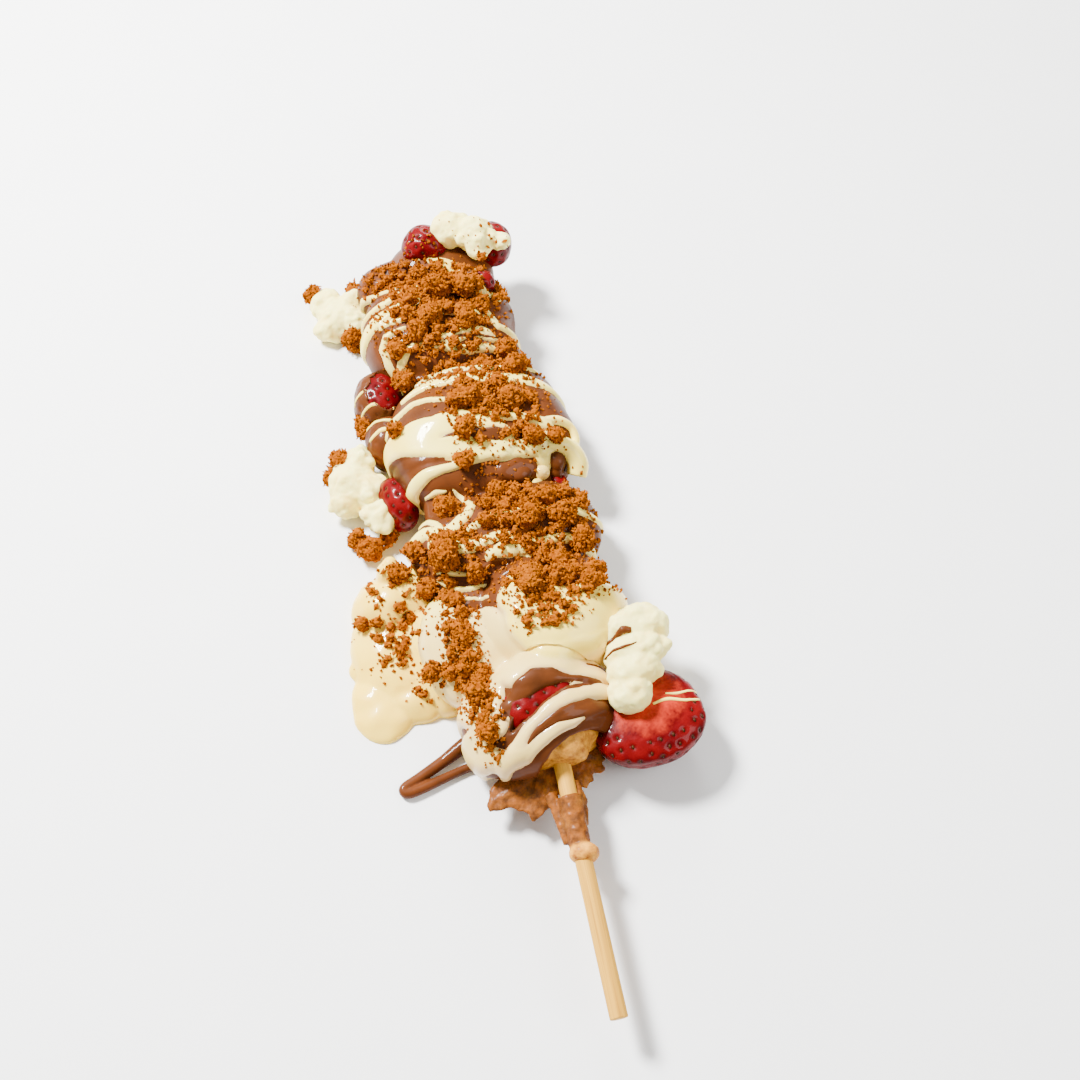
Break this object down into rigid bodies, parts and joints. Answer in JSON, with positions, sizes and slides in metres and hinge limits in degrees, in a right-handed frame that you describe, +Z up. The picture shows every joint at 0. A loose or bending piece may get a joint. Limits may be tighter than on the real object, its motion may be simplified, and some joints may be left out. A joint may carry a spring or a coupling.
{
  "type": "waffle stick",
  "caption": "Lobed waffle on a wooden stick, coated in milk and white chocolate with strawberry, cream and biscuit crumb, lying on its flat side.",
  "frame": {"origin": "bottom centre of the bounding box, on the surface the waffle lies on", "axes": "+Z up through the dressed side, +Y along the waffle away from the stick's free end, +X across"},
  "size_m": [0.1042, 0.2798, 0.037],
  "materials": {
    "stick_wood": "bare",
    "waffle_crust": "matte",
    "chocolate_coat": "satin",
    "milk_chocolate": "satin",
    "white_chocolate": "gloss",
    "strawberry": "gloss",
    "whipped_cream": "matte"
  },
  "bodies": {
    "root": {"stick": "stick_wood", "waffle": "waffle_crust", "chocolate_coat": "chocolate_coat", "chocolate_drip": "milk_chocolate", "white_chocolate_pool": "white_chocolate", "strawberry_half": "strawberry", "strawberry_end": "strawberry", "strawberry_far_bit": "strawberry", "strawberry_far_left": "strawberry", "strawberry_far_right": "strawberry", "strawberry_side_far": "strawberry", "coated_strawberry_side": "milk_chocolate", "strawberry_side_near": "strawberry", "strawberry_right_bit": "strawberry", "cream_left": "whipped_cream", "cream_far_left": "whipped_cream", "cream_far": "whipped_cream", "cream_right": "whipped_cream"}
  },
  "joints": []
}
